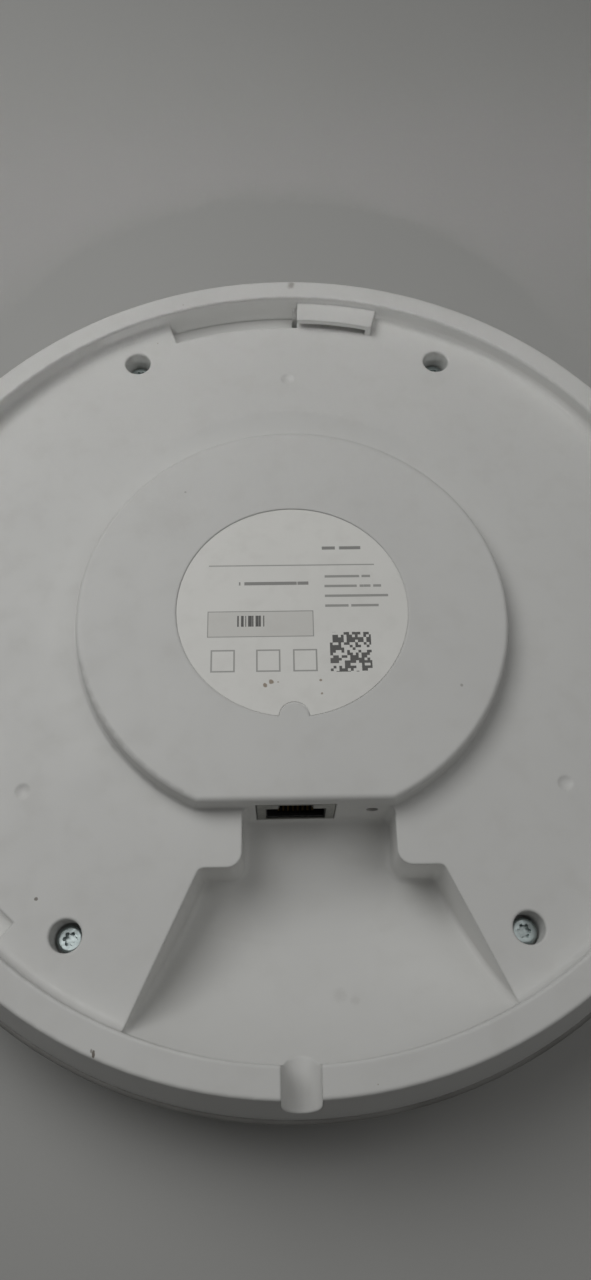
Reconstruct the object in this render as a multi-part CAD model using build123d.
from build123d import *
import os
from math import acos, asin, atan2, cos, degrees, hypot, radians, sin, sqrt, tan

# A round wireless access point that hangs under a ceiling, modelled as it lies on a table:
# on the dome that faces the room, with the side that faces the ceiling turned up.
# Millimetres. Z is up. The origin is the middle of the dome's resting flat.
# +Y points from the network jack towards the middle, so a cable leaves towards -Y.

# Overall sizes
overall_radius = 100.0          # widest lip, where the two covers meet
overall_height = 36.5           # resting flat to the top of the raised centre
wall = 2.2                      # moulded wall of both covers

# Clearances between pieces
cover_clearance = 0.3           # between the two covers' overlapping edges
insert_clearance = 0.2          # round a piece that sits in a pocket of a cover
board_clearance = 0.4           # round a screw that passes through the main board
pin_clearance = 0.15            # round the corners of a square pin that passes through it
running_clearance = 0.05        # radial, round a screw thread or a piece that slides

# Rim of the back cover
plateau_above_rim = 1.1         # the raised centre stands this far above the rim
rim_width = 5.7
rim_flare = 3.5                 # the rim's outer side leans out by this much
cover_ledge = 0.8               # the front cover stands out this far past the back cover
parting_drop = 11.3             # rim top to the joint between the covers
floor_depth = 4.5               # rim top to the sunken floor
tongue_length = 2.5             # edge of the back cover that reaches into the front cover
tongue_thickness = 1.4

# Raised centre
plateau_radius = 46.7
plateau_draft = 0.7             # its side leans out by this much down to the floor
plateau_rounding = 1.1
plateau_foot = 0.8              # fillet where its side meets the floor
label_radius = 25.0
label_thickness = 0.15
label_recess = 0.2
label_notch_radius = 3.3

# Cable bay, from the jack wall out to the rim
jack_wall_y = -42.5
throat_left = -10.9
throat_right = 20.1
step_y = -54.3                  # the throat opens into the flared part here
step_left = -19.3
step_right = 29.1
flare_angle = 24.3              # each flared wall against the Y axis, degrees
throat_corner_radius = 3.0
bay_corner_radius = 1.5
bay_floor_below_board = 1.2     # board's ceiling side to the bay floor at the jack wall
bowl_radius = 38.0              # the outer bay floor rises to the rim on this arc
bowl_inset = 30.25              # rim's inner wall to the arc's centre
bowl_lip = 0.6                  # floor to the end of the arc at the rim
bay_floor_fillet = 1.2
bay_floor_blend = 25.0          # radius where the sloped floor runs into the bowl

# Cable notch across the rim
notch_width = 7.3
notch_depth = 7.0

# Bayonet pockets for the ceiling bracket's three tabs
bayonet_count = 3
bayonet_depth = 5.8             # radial, in from the rim's inner wall
pocket_start = 88.9             # degrees from +X, the pocket's end beside the ledge
pocket_end = 109.6
pocket_sink = 3.0               # below the floor
slit_angle = 0.7                # the open slit between pocket and ledge, degrees
slit_inset = 1.0                # the slit stops this far from the rim's inner wall
ledge_end = 75.2
ledge_stop_angle = 1.0          # the closed end of the ledge, degrees
ledge_drop = 1.7                # rim top to the top of the ledge
ledge_thickness = 1.2

# Locating dimples
dimple_inset = 22.6             # from the rim's inner wall to the dimple
dimple_angles = (90.0, 214.6, 325.4)
dimple_radius = 1.65
dimple_sink = 0.5

# Case screws: inset from the rim's inner wall, and angle from +X
case_screw_places = ((8.1, 62.5), (8.1, 117.5), (9.8, 236.3), (9.8, 303.7))
counterbore_radius = 3.15
counterbore_chamfer = 0.25
screw_sink = 4.5                # floor to the top of the screw head
case_head_radius = 2.65
case_head_height = 2.0
case_thread_radius = 1.45
case_thread_length = 10.0
case_boss_radius = 4.0
case_socket_size = 2.8
case_socket_depth = 1.2

# Front cover: a flat, a wide arc and a tight arc up to the lip
flat_margin = 1.2               # flat outside the light ring's flange
lip_arc_radius = 9.0
lip_height = 1.2                # upright band between the tight arc and the joint
lip_rounding = 0.5
cover_edge_thickness = 2.6
case_rib_thickness = 1.2
case_rib_drop = 3.0             # boss top to the top of its ribs
case_rib_reach = 9.0

# Light ring and cap in the middle of the dome
cap_radius = 24.1
ring_width = 2.0                # what shows between the cap and the front cover
ring_flange = 2.0               # overlap of the ring behind cap and cover
ring_flange_thickness = 1.2
light_gap = 0.5                 # between the light ring and the status lights

# Main board
jack_top_drop = 2.4             # rim top to the top of the network jack on the board
board_thickness = 1.6
board_edge_gap = 0.5            # from the inside of the jack wall to the board
board_boss_inset = 8.0
board_boss_angles = (90.0, 18.0, 162.0)
board_boss_edge_inset = 5.4     # from the board's straight edge to its last two bosses
board_corner_radius = 2.0
board_margin = 22.0             # rim's inner wall to the board's round edge
board_boss_radius = 3.2
board_screw_radius = 1.25
board_screw_length = 6.0
board_head_radius = 2.3
board_head_height = 1.5

# Parts on the board. A place is X and Y. A size is width, depth and height.
chip_standoff = 0.1
lead_reach = 1.05               # from a chip's side to the end of its leads
transformer_x = -1.0
transformer_gap = 3.9           # back of the jack to the transformer's leads
transformer_size = (12.7, 7.1, 5.6)
processor_place = (-9.0, 18.0)
processor_size = (14.0, 14.0, 1.4)
memory_place = (-34.0, 14.0)
memory_size = (10.2, 18.4, 1.2)
flash_place = (-33.0, 34.0)
flash_size = (5.2, 3.9, 1.6)
radio_place = (12.0, 18.0)
radio_size = (9.0, 9.0, 1.0)
regulator_place = (-37.0, -6.0)
regulator_size = (4.9, 3.9, 1.6)
amplifier_offset = (7.5, 9.0)   # from the radio, one at +Y and one at -Y
amplifier_size = (3.0, 3.0, 0.8)
crystal_offset = (-1.0, -10.5)  # from the radio
crystal_size = (5.0, 3.2, 0.9)
surge_x = 15.5
surge_ys = (-24.0, -15.0)
surge_size = (6.6, 5.6, 2.2)
inductor_place = (-24.0, -13.0)
inductor_size = (10.0, 10.0, 5.0)
inductor_corner = 2.0
inductor_core_radius = 3.3
inductor_core_gap = 0.5
capacitor_places = ((-17.5, -31.0), (-28.5, -27.0))
capacitor_radius = 4.0
capacitor_height = 10.5
capacitor_rounding = 0.4
capacitor_groove = 0.3
thermal_pad_size = 11.0
shield_can_box = (-21.0, 25.0, 0.0, 36.0)
shield_can_height = 3.0
shield_can_wall = 0.25
shield_bar_width = 2.0
lid_skirt_gap = 0.5             # board to the lower edge of the lid
lid_hole_radius = 0.9
lid_hole_pitch = 7.5
lid_holes_per_row = 5
lid_hole_inset = (8.0, 4.0)     # from the lid's corner to the first hole
header_place = (36.0, 20.0)
header_pins = 4
header_pitch = 2.54
header_pin_size = 0.64
header_strip_height = 2.5
header_pin_above = 8.5          # above the board's ceiling side
header_pin_below = 1.4          # below its room side
small_capacitor_size = (1.0, 2.0, 0.9)
small_capacitor_pitch = 4.0
small_capacitor_ys = (41.0, 45.0)
small_capacitors_each_side = 5
small_resistor_size = (2.0, 1.2, 0.5)
small_resistor_pitch = 3.0
small_resistor_xs = (-46.0, 42.5)
small_resistors_each_side = 4
led_count = 8
led_size = (2.0, 3.0, 1.1)

# Network jack
jack_width = 15.9
jack_height = 11.4
jack_depth = 21.0
shield_thickness = 0.3
jack_floor = 1.3                # board to the floor of the socket
socket_width = 11.9
socket_height = 6.7
socket_depth = 14.0
latch_width = 6.6
latch_height = 2.7
face_margin = 0.25              # the shield's opening is larger than the socket by this
contact_count = 8
contact_pitch = 1.02
contact_thickness = 0.4
contact_groove = 0.62
contact_groove_depth = 0.9
contact_setback = 1.7           # from the jack's face to the contacts' pivots
contact_length = 9.0
contact_angle = 25.0            # a spring's slope at rest, degrees
pin_rows = (16.0, 18.5)         # from the jack's face to the two rows of pins
pin_below_board = 1.0
shield_leg_depth = 9.0          # from the jack's face to its two legs
shield_leg_width = 1.6

# Reset switch
reset_x = 15.65
reset_drop = 7.1                # rim top to the pinhole's axis
reset_hole_radius = 1.25
reset_plunger_radius = 1.7
reset_plunger_gap = 1.0         # from the inside of the jack wall to the plunger
reset_plunger_reach = 2.2       # plunger in front of the switch body
reset_body_size = 6.0
reset_body_depth = 3.6
reset_flange_radius = 2.2
reset_flange_thickness = 0.6
reset_travel = 0.3
reset_bracket_thickness = 0.4

# Antennas, on the room side of the board
antenna_inset = 24.0            # board's round edge to the middle of an antenna
antenna_y = 14.0
antenna_length = 34.0
antenna_width = 12.0
antenna_thickness = 0.5
antenna_standoff = 6.0
antenna_slot = 2.0
antenna_spacer_radius = 2.5

# Heights worked out from the sizes above
rim_top = overall_height - plateau_above_rim
floor_top = rim_top - floor_depth
parting_z = rim_top - parting_drop
jack_top = rim_top - jack_top_drop
board_top = jack_top - jack_height
board_bottom = board_top - board_thickness
reset_z = rim_top - reset_drop
screw_head_top = floor_top - screw_sink
screw_seat = screw_head_top - case_head_height
case_boss_top = screw_seat - wall
bay_floor_top = board_top - bay_floor_below_board

# Radii and places worked out from the sizes above
skirt_radius = overall_radius - cover_ledge
rim_radius = skirt_radius - rim_flare
rim_inner_radius = rim_radius - rim_width
edge_inner_radius = overall_radius - cover_edge_thickness
tongue_radius = edge_inner_radius - cover_clearance
tongue_inner_radius = tongue_radius - tongue_thickness
bayonet_inner_radius = rim_inner_radius - bayonet_depth
bowl_center_radius = rim_inner_radius - bowl_inset
bowl_end_z = floor_top - bowl_lip
bowl_center_z = bowl_end_z + sqrt(bowl_radius**2 - bowl_inset**2)
ring_inner_radius = cap_radius + insert_clearance
ring_outer_radius = ring_inner_radius + ring_width
dome_hole_radius = ring_outer_radius + insert_clearance
flat_radius = ring_outer_radius + ring_flange + flat_margin
jack_wall_inner_y = jack_wall_y + wall
board_edge_y = jack_wall_inner_y + board_edge_gap
board_radius = rim_inner_radius - board_margin
board_boss_circle = board_radius - board_boss_inset
antenna_x = board_radius - antenna_inset
lip_arc_z = parting_z - lip_height
lip_arc_center = overall_radius - lip_arc_radius
socket_floor = board_top + jack_floor
socket_top = socket_floor + socket_height

# Radius of the wide arc that leaves the flat level and meets the tight arc without a corner
dome_run = lip_arc_center - flat_radius
dome_radius = (dome_run**2 + lip_arc_z**2 - lip_arc_radius**2) / (2 * (lip_arc_z - lip_arc_radius))
dome_sweep = degrees(asin(dome_run / (dome_radius - lip_arc_radius)))

tall = 4 * overall_height       # longer than any cut has to reach


def block(x0, x1, y0, y1, z0, z1):
    """A box between two corners."""
    middle = Pos((x0 + x1) / 2, (y0 + y1) / 2, (z0 + z1) / 2)
    return middle * Box(x1 - x0, y1 - y0, z1 - z0)


def post(x, y, z0, z1, radius):
    """An upright cylinder between two heights."""
    return Pos(x, y, (z0 + z1) / 2) * Cylinder(radius, z1 - z0)


def along_y(x, y0, y1, z, radius):
    """A cylinder that lies along Y."""
    return Pos(x, (y0 + y1) / 2, z) * Rot(90, 0, 0) * Cylinder(radius, y1 - y0)


def polar(radius, angle):
    """X and Y of a point at this radius and angle in degrees."""
    return radius * cos(radians(angle)), radius * sin(radians(angle))


def ring(inner, outer, z0, z1):
    """A flat ring between two radii and two heights."""
    return post(0, 0, z0, z1, outer) - post(0, 0, z0 - 1, z1 + 1, inner)


def sector(inner, outer, start, end, z0, z1):
    """Part of a ring, between two angles in degrees."""
    near = CenterArc((0, 0), inner, start, end - start)
    far = CenterArc((0, 0), outer, start, end - start)
    outline = [near, far, Line(near @ 0, far @ 0), Line(near @ 1, far @ 1)]
    return Pos(0, 0, z0) * extrude(make_face(outline), z1 - z0)


def near_points(points, radius, height):
    """The outline's corners at one radius and height."""
    return [p for p in points if hypot(p.X - radius, p.Z - height) < 0.01]


def star_socket(x, y, z0, z1, size):
    """A six-lobed driver recess of this size across its lobes, to be cut out of a screw head."""
    lobe_radius = 0.13 * size
    core = post(x, y, z0, z1, size / 2 - lobe_radius - 0.01 * size)
    lobes = []
    for i in range(6):
        dx, dy = polar(size / 2 - lobe_radius, 60 * i)
        lobes.append(post(x + dx, y + dy, z0, z1, lobe_radius))
    return core + lobes


# Back cover ---------------------------------------------------------------------------------


def cover_disc():
    """Floor, rim, flared skirt and tongue of the back cover, turned about Z."""
    outline = Polyline(
        (0, floor_top),
        (rim_inner_radius, floor_top),
        (rim_inner_radius, rim_top),
        (rim_radius, rim_top),
        (skirt_radius, parting_z),
        (tongue_radius, parting_z),
        (tongue_radius, parting_z - tongue_length),
        (tongue_inner_radius, parting_z - tongue_length),
        (tongue_inner_radius, parting_z + 0.5),
        (rim_radius - wall, rim_top - wall),
        (rim_inner_radius + wall, rim_top - wall),
        (rim_inner_radius + wall, floor_top - wall),
        (0, floor_top - wall),
        close=True,
    )
    face = Plane.XZ * make_face(outline)
    roundings = (
        (rim_inner_radius, floor_top, 1.6),
        (rim_inner_radius, rim_top, 0.5),
        (rim_radius, rim_top, 0.7),
        (skirt_radius, parting_z, 0.3),
    )
    for radius, height, rounding in roundings:
        face = fillet(near_points(face.vertices(), radius, height), rounding)
    return revolve(face, Axis.Z)


def plateau(top, radius, base, flat_y, rounding):
    """The raised centre as a solid: a low drafted disc with one side cut flat."""
    outline = Polyline(
        (0, base),
        (radius + plateau_draft, base),
        (radius, top),
        (0, top),
        close=True,
    )
    disc = revolve(Plane.XZ * make_face(outline), Axis.Z)
    disc -= block(-overall_radius, overall_radius, -overall_radius, flat_y, base - 1, top + 1)
    upper = [e for e in disc.edges() if abs(e.center().Z - top) < 0.01]
    return fillet(upper, rounding)


def bay_outline(grow):
    """The cable bay seen from above, with its walls moved out by grow."""
    reach = rim_inner_radius + 2 * wall
    run = reach + step_y
    spread = run * tan(radians(flare_angle))
    points = (
        (throat_left, jack_wall_y),
        (throat_left, step_y),
        (step_left, step_y),
        (step_left - spread, -reach),
        (step_right + spread, -reach),
        (step_right, step_y),
        (throat_right, step_y),
        (throat_right, jack_wall_y),
    )
    face = make_face(Polyline(*points, close=True))
    at_step = [v for v in face.vertices() if abs(v.Y - step_y) < 0.01]
    throat = [v for v in at_step if step_left + 1 < v.X < step_right - 1]
    face = fillet(throat, throat_corner_radius)
    corners = [v for v in face.vertices() if abs(v.Y - jack_wall_y) < 0.01]
    for corner in face.vertices():
        on_a_side = abs(corner.X - step_left) < 0.02 or abs(corner.X - step_right) < 0.02
        if on_a_side and abs(corner.Y - step_y) < 0.01:
            corners.append(corner)
    face = fillet(corners, bay_corner_radius)
    return offset(face, grow, kind=Kind.ARC) if grow else face


def above_bay_floor(drop, outer):
    """Everything above the bay floor moved down by drop, out to a radius."""
    floor_z = bay_floor_top - drop
    arc_radius = bowl_radius + drop
    reach = outer - bowl_center_radius
    end_z = bowl_center_z - sqrt(arc_radius**2 - reach**2)
    bottom = (bowl_center_radius, bowl_center_z - arc_radius)
    arc = CenterArc((bowl_center_radius, bowl_center_z), arc_radius, -90, degrees(asin(reach / arc_radius)))
    inner_floor = (-jack_wall_y, floor_z)
    outline = Polyline((outer, end_z), (outer, tall), (0, tall), (0, floor_z), inner_floor, bottom)
    face = Plane.XZ * make_face([outline, arc])
    face = fillet(near_points(face.vertices(), *bottom), bay_floor_blend)
    return revolve(face, Axis.Z)


def is_upright(edge):
    """True for a straight edge along Z."""
    size = edge.bounding_box().size
    return size.X < 0.01 and size.Y < 0.01


def bay_space():
    """The open space of the cable bay, with its floor's edges rounded."""
    space = extrude(bay_outline(0), tall) & above_bay_floor(0, rim_inner_radius)
    clear_of_rim = rim_inner_radius - 4
    foot = []
    for edge in space.edges():
        middle = edge.center()
        low = middle.Z < floor_top - 2
        if low and not is_upright(edge) and hypot(middle.X, middle.Y) < clear_of_rim:
            foot.append(edge)
    return fillet(crossing_free(foot), bay_floor_fillet)


def crossing_free(edges):
    """Leaves out the creases that run across the floor between two walls."""
    return [e for e in edges if e.geom_type != GeomType.CIRCLE or e.length < 2 * throat_corner_radius]


def bay_shell():
    """The bay's walls and floor as a solid block, one wall larger than its space."""
    grown = extrude(bay_outline(wall), floor_top - 0.5)
    return grown & above_bay_floor(wall, rim_inner_radius + wall)


def notch_block(grow, top, inner, outer):
    """A U-shaped bar across the rim at -Y: the cable notch, or the plastic round it."""
    half = notch_width / 2 + grow
    round_z = rim_top - notch_depth + notch_width / 2
    bar = block(-half, half, -outer, -inner, round_z, top)
    pipe = Pos(0, -(inner + outer) / 2, round_z) * Rot(90, 0, 0) * Cylinder(half, outer - inner)
    return bar + pipe


def inside_rim():
    """The space that the rim's outer side closes in, down to the joint."""
    outline = Polyline(
        (0, parting_z), (skirt_radius, parting_z), (rim_radius, rim_top - 0.7), (0, rim_top - 0.7), close=True
    )
    return revolve(Plane.XZ * make_face(outline), Axis.Z)


def bayonets():
    """For one tab: the plastic to add, the space to cut, and the ledge to add last."""
    top = rim_top + 1
    pocket_floor = floor_top - pocket_sink
    inner = bayonet_inner_radius
    outer = rim_inner_radius
    side = degrees(wall / outer)
    slit_start = pocket_start - slit_angle
    ledge_top = rim_top - ledge_drop
    first, last = slit_start - side, pocket_end + side
    add = sector(inner - wall, outer + wall, first, last, pocket_floor - wall, floor_top)
    cut = sector(inner, outer, pocket_start, pocket_end, pocket_floor, top)
    slit = sector(inner, outer - slit_inset, slit_start, pocket_start + 0.1, pocket_floor - 2 * wall, top)
    plate = sector(inner, outer + 0.5, ledge_end, slit_start, ledge_top - ledge_thickness, ledge_top)
    stop_end = ledge_end + ledge_stop_angle
    stop = sector(inner, outer + 0.5, ledge_end, stop_end, floor_top - 0.5, ledge_top - 0.1)
    return add, cut + slit, plate + stop


def screw_places():
    """X and Y of the four case screws."""
    return [polar(rim_inner_radius - inset, angle) for inset, angle in case_screw_places]


def board_boss_places():
    """X and Y of the main board's screws: three round it and two near its straight edge."""
    y = board_edge_y + board_boss_edge_inset
    x = sqrt(board_boss_circle**2 - y**2)
    return [polar(board_boss_circle, angle) for angle in board_boss_angles] + [(x, y), (-x, y)]


def label_outline(radius, notch_radius):
    """The label seen from above: a disc with a half-round bite at -Y."""
    return Circle(radius) - Pos(0, -radius) * Circle(notch_radius)


def make_back_cover():
    """The moulded shell that faces the ceiling."""
    cover = cover_disc()
    cover += plateau(overall_height, plateau_radius, floor_top - wall, jack_wall_y, plateau_rounding)
    foot = [e for e in cover.edges() if abs(e.center().Z - floor_top) < 0.01]
    cover = fillet([e for e in foot if e.bounding_box().max.Y < plateau_radius + 2], plateau_foot)
    cover += bay_shell()
    inner_top = overall_height - wall
    cover -= plateau(inner_top, plateau_radius - wall, floor_top - wall - 1, jack_wall_inner_y, 0.5)
    cover += notch_block(wall, rim_top - 0.8, rim_inner_radius - 1, overall_radius) & inside_rim()
    added, ledges = [], []
    cut = [bay_space(), notch_block(0, rim_top + 5, rim_inner_radius - 4, overall_radius + 5)]
    add, space, ledge = bayonets()
    for i in range(bayonet_count):
        turn = Rot(0, 0, 360 * i / bayonet_count)
        added.append(turn * add)
        cut.append(turn * space)
        ledges.append(turn * ledge)
    for x, y in screw_places():
        added.append(post(x, y, case_boss_top, floor_top - 0.5, counterbore_radius + wall))
        hole = post(x, y, case_boss_top - 1, screw_seat + 0.5, case_thread_radius + board_clearance)
        cut.append(post(x, y, screw_seat, floor_top + 1, counterbore_radius) + hole)
    for x, y in board_boss_places():
        added.append(post(x, y, board_top, floor_top - 0.5, board_boss_radius))
        pilot = board_screw_radius + running_clearance
        cut.append(post(x, y, board_top - 1, board_top + board_screw_length, pilot))
    for piece in added:
        cover += piece
    half_jack = jack_width / 2 + insert_clearance
    low = board_top - insert_clearance
    high = jack_top + insert_clearance
    cut.append(block(-half_jack, half_jack, jack_wall_y - 1, jack_wall_inner_y + 1, low, high))
    cut.append(along_y(reset_x, jack_wall_y - 1, jack_wall_inner_y + 1, reset_z, reset_hole_radius))
    recess = label_outline(label_radius + insert_clearance, label_notch_radius - insert_clearance)
    cut.append(Pos(0, 0, overall_height - label_recess) * extrude(recess, 1))
    for angle in dimple_angles:
        x, y = polar(rim_inner_radius - dimple_inset, angle)
        ball = (dimple_radius**2 + dimple_sink**2) / (2 * dimple_sink)
        cut.append(Pos(x, y, floor_top - dimple_sink + ball) * Sphere(ball))
    for space in cut:
        cover -= space
    for ledge in ledges:
        cover += ledge
    return break_counterbore_mouths(cover)


def break_counterbore_mouths(cover):
    """Chamfers the circles where the counterbores meet the sunken floor."""
    mouths = []
    for edge in cover.edges().filter_by(GeomType.CIRCLE):
        if abs(edge.center().Z - floor_top) < 0.01 and abs(edge.radius - counterbore_radius) < 0.01:
            mouths.append(edge)
    return chamfer(mouths, counterbore_chamfer)


# Front cover, cap, ring and label ------------------------------------------------------------


def dome_curve(shift, edge_radius):
    """The dome's outline moved in by shift, as a wide arc and a tight arc that ends at edge_radius."""
    start = dome_sweep - 90
    tight_radius = lip_arc_radius - shift
    end = -degrees(acos(min(1.0, (edge_radius - lip_arc_center) / tight_radius)))
    wide = CenterArc((flat_radius, dome_radius), dome_radius - shift, -90, dome_sweep)
    tight = CenterArc((lip_arc_center, lip_arc_z), tight_radius, start, end - start)
    return wide, tight


def above_dome(shift):
    """Everything above the dome's outline moved in by shift."""
    wide, tight = dome_curve(shift, overall_radius - shift)
    rim = (overall_radius - shift, lip_arc_z)
    outline = Polyline(rim, (rim[0], tall), (0, tall), (0, shift), (flat_radius, shift))
    return revolve(Plane.XZ * make_face([wide, tight, outline]), Axis.Z)


def case_boss(x, y):
    """A boss for one case screw, with a rib towards the lip, still longer than it ends up."""
    angle = degrees(atan2(y, x))
    half = case_rib_thickness / 2
    rib = block(0, case_rib_reach, -half, half, 0, case_boss_top - case_rib_drop)
    return post(x, y, 0, case_boss_top, case_boss_radius) + Pos(x, y, 0) * Rot(0, 0, angle) * rib


def make_front_cover():
    """The dome that faces the room, with bosses for the case screws."""
    wide, tight = dome_curve(0, overall_radius)
    inner_wide, inner_tight = dome_curve(wall, edge_inner_radius)
    edge = Polyline(tight @ 1, (overall_radius, parting_z), (edge_inner_radius, parting_z), inner_tight @ 1)
    middle = Polyline(inner_wide @ 0, (dome_hole_radius, wall), (dome_hole_radius, 0), wide @ 0)
    face = Plane.XZ * make_face([wide, tight, edge, inner_tight, inner_wide, middle])
    face = fillet(near_points(face.vertices(), overall_radius, parting_z), lip_rounding)
    cover = revolve(face, Axis.Z)
    bosses, pilots = [], []
    for x, y in screw_places():
        bosses.append(case_boss(x, y) & above_dome(wall / 2))
        low = screw_seat - case_thread_length - insert_clearance
        pilots.append(post(x, y, low, case_boss_top + 1, case_thread_radius + running_clearance))
    for boss, pilot in zip(bosses, pilots):
        cover = cover + boss - pilot
    return cover


def make_front_cap():
    """The round cap in the middle of the dome."""
    cap = post(0, 0, 0, wall, cap_radius)
    return fillet(cap.edges().filter_by(GeomType.CIRCLE).sort_by(Axis.Z)[:1], 0.3)


def make_light_ring():
    """The clear ring that carries the status light through the dome."""
    ring_top = board_bottom - led_size[2] - light_gap
    shown = ring(ring_inner_radius, ring_outer_radius, 0, ring_top)
    flange_top = wall + ring_flange_thickness
    flange = ring(ring_inner_radius - ring_flange, ring_outer_radius + ring_flange, wall, flange_top)
    return shown + flange


def make_rating_label():
    """The label in its recess on the raised centre, left bare."""
    face = label_outline(label_radius, label_notch_radius)
    return Pos(0, 0, overall_height - label_recess) * extrude(face, label_thickness)


# Screws ---------------------------------------------------------------------------------------


def make_case_screws():
    """Four screws with six-lobed recesses that hold the covers together."""
    head = post(0, 0, screw_seat, screw_head_top, case_head_radius)
    head = fillet(head.edges().filter_by(GeomType.CIRCLE).sort_by(Axis.Z)[-1:], 0.6)
    shank = post(0, 0, screw_seat - case_thread_length, screw_seat + 0.5, case_thread_radius)
    recess = star_socket(0, 0, screw_head_top - case_socket_depth, screw_head_top + 1, case_socket_size)
    screw = head + shank - recess
    return [Pos(x, y, 0) * screw for x, y in screw_places()]


def make_board_screws():
    """Screws that hold the main board to the back cover, driven from the room side."""
    head = post(0, 0, board_bottom - board_head_height, board_bottom, board_head_radius)
    head = fillet(head.edges().filter_by(GeomType.CIRCLE).sort_by(Axis.Z)[:1], 0.5)
    shank = post(0, 0, board_bottom - 0.5, board_bottom + board_screw_length, board_screw_radius)
    low = board_bottom - board_head_height
    slot = block(-1.4, 1.4, -0.3, 0.3, low - 1, low + 0.9)
    screw = head + shank - slot - Rot(0, 0, 90) * slot
    return [Pos(x, y, 0) * screw for x, y in board_boss_places()]


# Main board and what is on it -----------------------------------------------------------------


def contact_xs():
    """X of each contact of the jack."""
    return [(i - (contact_count - 1) / 2) * contact_pitch for i in range(contact_count)]


def pin_row_y(i):
    """Y of one contact's pin: neighbours alternate between two rows."""
    return jack_wall_y + pin_rows[i % 2]


def header_pin_places():
    """X and Y of the serial header's pins."""
    span = (header_pins - 1) / 2
    x, y = header_place
    return [(x, y + (i - span) * header_pitch) for i in range(header_pins)]


def make_main_board():
    """The circuit board: a disc with one side cut straight behind the jack wall."""
    margin = 2 * board_radius
    face = Circle(board_radius) - Pos(0, board_edge_y - margin / 2) * Rectangle(margin, margin)
    face = fillet([v for v in face.vertices() if abs(v.Y - board_edge_y) < 0.01], board_corner_radius)
    board = Pos(0, 0, board_bottom) * extrude(face, board_thickness)
    cut = []
    low, high = board_bottom - 1, board_top + 1
    for x, y in board_boss_places():
        cut.append(post(x, y, low, high, board_screw_radius + board_clearance))
    for i, x in enumerate(contact_xs()):
        cut.append(post(x, pin_row_y(i), low, high, contact_thickness / sqrt(2) + pin_clearance))
    for x, y in header_pin_places():
        cut.append(post(x, y, low, high, header_pin_size / sqrt(2) + pin_clearance))
    gap = insert_clearance
    leg_y = jack_wall_y + shield_leg_depth
    for side in (-1, 1):
        x = side * (jack_width - shield_thickness) / 2
        reach = shield_thickness / 2 + gap
        length = shield_leg_width / 2 + gap
        cut.append(block(x - reach, x + reach, leg_y - length, leg_y + length, low, high))
    return board - cut


def leaded_chip(place, size, along_x, along_y, pitch):
    """A moulded chip on the board, with this many bent leads on its sides along X and along Y."""
    width, depth, height = size
    body = block(-width / 2, width / 2, -depth / 2, depth / 2, chip_standoff, height)
    body = chamfer(body.edges().group_by(Axis.Z)[-1], 0.15)
    leads = []
    half = 0.3 * pitch
    for side in (-1, 1):
        for i in range(along_x):
            lead = chip_lead((i - (along_x - 1) / 2) * pitch, depth, half, height)
            leads.append(Rot(0, 0, 90 - 90 * side) * lead)
        for i in range(along_y):
            lead = chip_lead((i - (along_y - 1) / 2) * pitch, width, half, height)
            leads.append(Rot(0, 0, 90 * side) * lead)
    dot = post(0.8 - width / 2, 0.8 - depth / 2, height - 0.05, height + 1, 0.3)
    return Pos(*place, board_top) * (body + leads - dot)


def chip_lead(x, across, half, height):
    """One lead at -Y: out of the body at mid height, down, and flat on the board."""
    edge = -across / 2
    mid = 0.45 * height
    shoulder = block(x - half, x + half, edge - 0.45, edge + 0.2, mid - 0.09, mid + 0.09)
    drop = block(x - half, x + half, edge - 0.6, edge - 0.42, 0, mid + 0.09)
    foot = block(x - half, x + half, edge - lead_reach, edge - 0.42, 0, 0.18)
    return shoulder + drop + foot


def make_lan_transformer():
    """Isolates the cable pairs from the board."""
    back_of_jack = jack_wall_y + jack_depth
    y = back_of_jack + transformer_gap + lead_reach + transformer_size[1] / 2
    return leaded_chip((transformer_x, y), transformer_size, 8, 0, 1.27)


def make_processor_chip():
    return leaded_chip(processor_place, processor_size, 16, 16, 0.8)


def make_memory_chip():
    return leaded_chip(memory_place, memory_size, 0, 16, 1.0)


def make_flash_chip():
    return leaded_chip(flash_place, flash_size, 4, 0, 1.27)


def make_radio_chip():
    return leaded_chip(radio_place, radio_size, 11, 11, 0.65)


def make_power_regulator():
    return leaded_chip(regulator_place, regulator_size, 4, 0, 1.27)


def chip_block(x, y, size):
    """A part with no leads, flat on the board's ceiling side."""
    width, depth, height = size
    body = block(x - width / 2, x + width / 2, y - depth / 2, y + depth / 2, board_top, board_top + height)
    return chamfer(body.edges().group_by(Axis.Z)[-1], 0.08)


def make_power_amplifiers():
    """One output stage for each antenna."""
    dx, dy = amplifier_offset
    x, y = radio_place
    return [chip_block(x + dx, y + side * dy, amplifier_size) for side in (-1, 1)]


def make_crystal():
    """The radio's clock, in a small metal can."""
    dx, dy = crystal_offset
    x, y = radio_place
    return chip_block(x + dx, y + dy, crystal_size)


def make_surge_protectors():
    """Diodes that clamp surges from the cable."""
    return [chip_block(surge_x, y, surge_size) for y in surge_ys]


def make_power_inductor():
    """A shielded coil with cut corners and a round core in its top."""
    width, depth, height = inductor_size
    x, y = inductor_place
    top = board_top + height
    body = block(x - width / 2, x + width / 2, y - depth / 2, y + depth / 2, board_top, top)
    body = chamfer(body.edges().filter_by(Axis.Z), inductor_corner)
    outer = inductor_core_radius + inductor_core_gap
    return body - Pos(x, y, 0) * ring(inductor_core_radius, outer, top - 0.4, top + 1)


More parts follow.
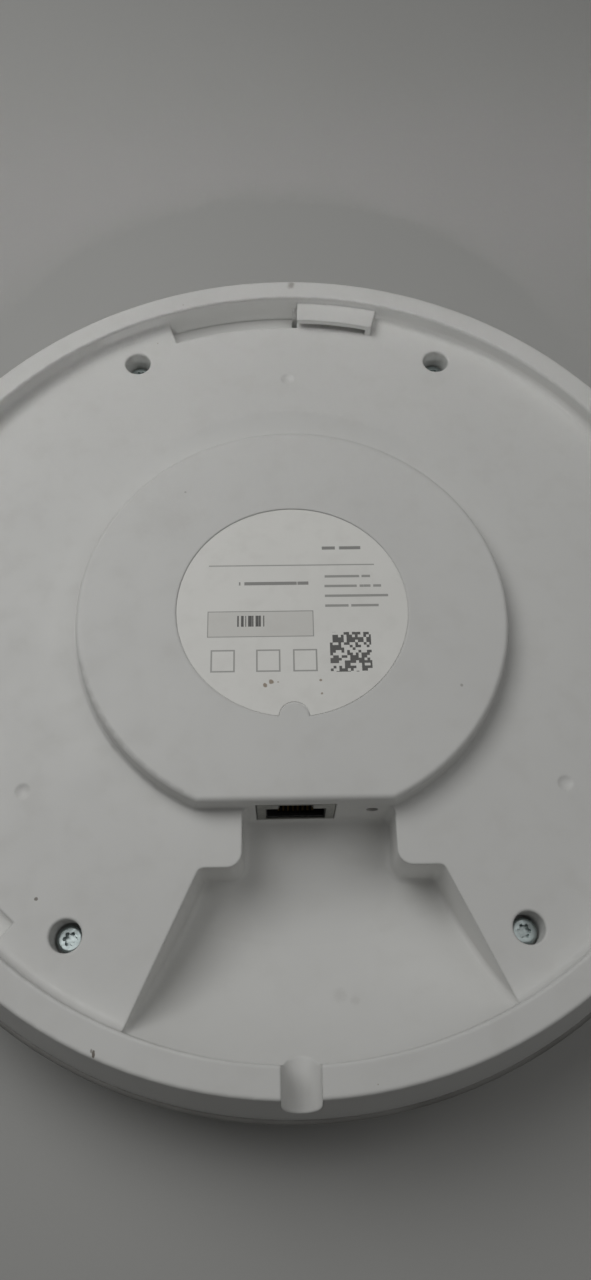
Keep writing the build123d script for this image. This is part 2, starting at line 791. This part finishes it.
def make_bulk_capacitors():
    """Two upright cans with a rolled groove near the foot."""
    cans = []
    for x, y in capacitor_places:
        can = post(x, y, board_top, board_top + capacitor_height, capacitor_radius)
        can = fillet(can.edges().filter_by(GeomType.CIRCLE), capacitor_rounding)
        inner = capacitor_radius - capacitor_groove
        groove = ring(inner, capacitor_radius + 1, board_top + 1.6, board_top + 2.2)
        cans.append(can - Pos(x, y, 0) * groove)
    return cans


def make_thermal_pad():
    """Carries the processor's heat to the shield lid."""
    half = thermal_pad_size / 2
    low = board_top + processor_size[2]
    x, y = processor_place
    return block(x - half, x + half, y - half, y + half, low, board_top + shield_can_height - shield_can_wall)


def can_walls(grow, z0, z1, thickness):
    """Four upright walls round the radio and the processor."""
    x0, x1, y0, y1 = shield_can_box
    outer = block(x0 - grow, x1 + grow, y0 - grow, y1 + grow, z0, z1)
    inner = grow - thickness
    return outer - block(x0 - inner, x1 + inner, y0 - inner, y1 + inner, z0 - 1, z1 + 1)


def make_shield_frame():
    """The soldered fence that the lid snaps onto, with a bar across it."""
    top = board_top + shield_can_height - shield_can_wall
    x0, x1, y0, y1 = shield_can_box
    bar_x = (processor_place[0] + radio_place[0]) / 2
    half = shield_bar_width / 2
    bar = block(bar_x - half, bar_x + half, y0, y1, top - shield_can_wall, top)
    return can_walls(0, board_top, top, shield_can_wall) + bar


def make_shield_lid():
    """A pressed lid over the fence, with rows of small holes."""
    x0, x1, y0, y1 = shield_can_box
    top = board_top + shield_can_height
    grow = shield_can_wall + running_clearance
    plate = block(x0 - grow, x1 + grow, y0 - grow, y1 + grow, top - shield_can_wall, top)
    lid = plate + can_walls(grow, board_top + lid_skirt_gap, top, shield_can_wall)
    dx, dy = lid_hole_inset
    holes = []
    for i in range(lid_holes_per_row):
        for y in (y0 + dy, y1 - dy):
            holes.append(post(x0 + dx + lid_hole_pitch * i, y, board_top, top + 1, lid_hole_radius))
    return lid - holes


def make_serial_header():
    """Four square pins in a plastic strip, used when the board is tested."""
    half = header_pitch / 2
    span = header_pins * half
    x, y = header_place
    strip = block(x - half, x + half, y - span, y + span, board_top, board_top + header_strip_height)
    pins = []
    h = header_pin_size / 2
    low, high = board_bottom - header_pin_below, board_top + header_pin_above
    for x, y in header_pin_places():
        pins.append(block(x - h, x + h, y - h, y + h, low, high))
    return strip + pins


def make_chip_capacitors():
    """Two rows of small ceramic capacitors."""
    steps = range(-small_capacitors_each_side, small_capacitors_each_side + 1)
    places = [(small_capacitor_pitch * i, y) for y in small_capacitor_ys for i in steps]
    return [chip_block(x, y, small_capacitor_size) for x, y in places]


def make_chip_resistors():
    """Two columns of small resistors."""
    steps = range(-small_resistors_each_side, small_resistors_each_side + 1)
    places = [(x, small_resistor_pitch * i) for x in small_resistor_xs for i in steps]
    return [chip_block(x, y, small_resistor_size) for x, y in places]


def make_status_leds():
    """Lights on the board's room side, under the light ring."""
    middle = (ring_inner_radius + ring_outer_radius) / 2
    lights = []
    for i in range(led_count):
        turn = Rot(0, 0, 360 * (i + 0.5) / led_count)
        width, depth, height = led_size
        low = board_bottom - height
        body = block(middle - width / 2, middle + width / 2, -depth / 2, depth / 2, low, board_bottom)
        lights.append(turn * body)
    return lights


def antenna(side):
    """A stamped plate held off the board, on a feed leg and an earth leg at its inner edge."""
    top = board_bottom - antenna_standoff
    x0, x1 = antenna_x - antenna_width / 2, antenna_x + antenna_width / 2
    y0, y1 = antenna_y - antenna_length / 2, antenna_y + antenna_length / 2
    plate = block(x0, x1, y0, y1, top - antenna_thickness, top)
    plate = fillet(plate.edges().filter_by(Axis.Z), 1.5)
    slot_x = x0 + 4.0
    slot = block(slot_x, slot_x + antenna_slot, y0 + 7.0, y1 - 6.0, top - 2, top + 1)
    for leg_y in (y0 + 2.0, y0 + 8.0):
        plate += block(x0, x0 + antenna_thickness, leg_y, leg_y + 2.0, top - antenna_thickness, board_bottom)
    plate -= slot
    return plate if side > 0 else mirror(plate, Plane.YZ)


def make_antenna_spacers():
    """Plastic posts under the antennas' free ends."""
    y = antenna_y + antenna_length / 2 - 3.5
    low = board_bottom - antenna_standoff
    return [post(side * antenna_x, y, low, board_bottom, antenna_spacer_radius) for side in (-1, 1)]


# Network jack ---------------------------------------------------------------------------------


def make_jack_shield():
    """The folded steel shell round the jack, open towards the board."""
    half = jack_width / 2
    back = jack_wall_y + jack_depth
    shell = block(-half, half, jack_wall_y, back, board_top, jack_top)
    t = shield_thickness
    shell -= block(t - half, half - t, jack_wall_y + t, back - t, board_top - 1, jack_top - t)
    wide = socket_width / 2 + face_margin
    narrow = latch_width / 2 + face_margin
    front, behind = jack_wall_y - 1, jack_wall_y + 1
    groove_floor = socket_floor - contact_groove_depth
    shell -= block(-wide, wide, front, behind, groove_floor, socket_top + face_margin)
    shell -= block(-narrow, narrow, front, behind, socket_top, socket_top + latch_height + face_margin)
    leg_y = jack_wall_y + shield_leg_depth
    length = shield_leg_width / 2
    for side in (-1, 1):
        x = side * (half - t / 2)
        low = board_bottom - 0.8
        shell += block(x - t / 2, x + t / 2, leg_y - length, leg_y + length, low, board_top + 1)
    return shell


def make_jack_housing():
    """The black moulding with the socket, the latch channel and a groove for each contact."""
    inset = shield_thickness + running_clearance
    half = jack_width / 2 - inset
    front = jack_wall_y + inset
    back = jack_wall_y + jack_depth - inset
    body = block(-half, half, front, back, board_top, jack_top - inset)
    wide, narrow = socket_width / 2, latch_width / 2
    cut = [block(-wide, wide, front - 1, jack_wall_y + socket_depth, socket_floor, socket_top)]
    latch_back = jack_wall_y + 0.7 * socket_depth
    cut.append(block(-narrow, narrow, front - 1, latch_back, socket_top - 1, socket_top + latch_height))
    g = contact_groove / 2
    groove_floor = socket_floor - contact_groove_depth
    for i, x in enumerate(contact_xs()):
        pin_y = pin_row_y(i)
        start = jack_wall_y + contact_setback - 0.7
        cut.append(block(x - g, x + g, start, pin_y + g, groove_floor, socket_floor + 0.01))
        cut.append(block(x - g, x + g, pin_y - g, pin_y + g, board_top - 1, groove_floor + 0.01))
    return body - cut


def wire_floor():
    """Height of the underside of the fixed wires in their grooves."""
    return socket_floor - contact_groove_depth + 0.1


def make_jack_pins():
    """The fixed end of each contact: along its groove, then down through the board."""
    h = contact_thickness / 2
    z = wire_floor()
    pins = []
    for i, x in enumerate(contact_xs()):
        y = pin_row_y(i)
        wire = block(x - h, x + h, jack_wall_y + contact_setback - h, y + h, z, z + contact_thickness)
        leg = block(x - h, x + h, y - h, y + h, board_bottom - pin_below_board, z + contact_thickness)
        pins.append(wire + leg)
    return pins


def make_jack_contacts():
    """The sprung end of each contact, which pivots about its front end when a plug presses it."""
    h = contact_thickness / 2
    pivot_y = jack_wall_y + contact_setback
    pivot_z = wire_floor() + contact_thickness + running_clearance + h
    bar = block(-h, h, 0, contact_length, -h, h)
    root = Rot(0, 90, 0) * Cylinder(h, contact_thickness)
    tip = Pos(0, contact_length, 0) * Rot(0, 90, 0) * Cylinder(h, contact_thickness)
    spring = Rot(contact_angle, 0, 0) * (bar + root + tip)
    return [Pos(x, pivot_y, pivot_z) * spring for x in contact_xs()]


# Reset switch ---------------------------------------------------------------------------------


def reset_ys():
    """Y of the plunger's front, the switch body's front and the front of its inner chamber."""
    plunger_front = jack_wall_inner_y + reset_plunger_gap
    body_front = plunger_front + reset_plunger_reach
    return plunger_front, body_front, body_front + 0.8


def make_reset_body():
    """The switch body, with a chamber for the plunger's flange."""
    _, body_front, chamber = reset_ys()
    half = reset_body_size / 2
    x0, x1 = reset_x - half, reset_x + half
    back = body_front + reset_body_depth
    body = block(x0, x1, body_front, back, reset_z - half, reset_z + half)
    room = reset_flange_thickness + reset_travel + 2 * running_clearance
    bore = along_y(reset_x, body_front - 1, chamber + 0.1, reset_z, reset_plunger_radius + running_clearance)
    return body - bore - along_y(reset_x, chamber, chamber + room, reset_z, reset_flange_radius + 0.1)


def make_reset_plunger():
    """The button: a round stem with a flange that keeps it in the switch body."""
    front, _, chamber = reset_ys()
    start = chamber + running_clearance
    stem = along_y(reset_x, front, start + 0.1, reset_z, reset_plunger_radius)
    return stem + along_y(reset_x, start, start + reset_flange_thickness, reset_z, reset_flange_radius)


def make_reset_bracket():
    """A folded steel stand that holds the switch in line with the pinhole."""
    _, body_front, _ = reset_ys()
    half = reset_body_size / 2
    t = reset_bracket_thickness
    x0, x1 = reset_x - half, reset_x + half
    y0, y1 = body_front + 0.4, body_front + reset_body_depth
    low = reset_z - half
    stand = block(x0 - t, x0, y0, y1 + t, board_top, reset_z + 1)
    stand += block(x1, x1 + t, y0, y1 + t, board_top, reset_z + 1)
    stand += block(x0 - t, x1 + t, y1, y1 + t, board_top, reset_z + 1)
    return stand + block(x0 - t, x1 + t, y0, y1 + t, low - t, low)


def write(node, shape):
    """Writes one node: a single solid, or a list of separate ones."""
    whole = Compound(children=shape) if isinstance(shape, list) else shape
    export_step(whole, f"parts/{node}.step")
    print(node, len(whole.solids()), "solids", round(whole.volume, 1), "mm3")


os.makedirs("parts", exist_ok=True)
write("back_cover", make_back_cover())
write("front_cover", make_front_cover())
write("front_cap", make_front_cap())
write("light_ring", make_light_ring())
write("rating_label", make_rating_label())
write("case_screws", make_case_screws())
write("board_screws", make_board_screws())
write("main_board", make_main_board())
write("lan_transformer", make_lan_transformer())
write("processor_chip", make_processor_chip())
write("memory_chip", make_memory_chip())
write("flash_chip", make_flash_chip())
write("radio_chip", make_radio_chip())
write("power_amplifiers", make_power_amplifiers())
write("power_regulator", make_power_regulator())
write("crystal", make_crystal())
write("surge_protectors", make_surge_protectors())
write("power_inductor", make_power_inductor())
write("bulk_capacitors", make_bulk_capacitors())
write("thermal_pad", make_thermal_pad())
write("shield_frame", make_shield_frame())
write("shield_lid", make_shield_lid())
write("serial_header", make_serial_header())
write("chip_capacitors", make_chip_capacitors())
write("chip_resistors", make_chip_resistors())
write("status_leds", make_status_leds())
write("antenna_left", antenna(-1))
write("antenna_right", antenna(1))
write("antenna_spacers", make_antenna_spacers())
write("jack_shield", make_jack_shield())
write("jack_housing", make_jack_housing())
write("jack_pins", make_jack_pins())
write("jack_contacts", make_jack_contacts())
write("reset_body", make_reset_body())
write("reset_plunger", make_reset_plunger())
write("reset_bracket", make_reset_bracket())
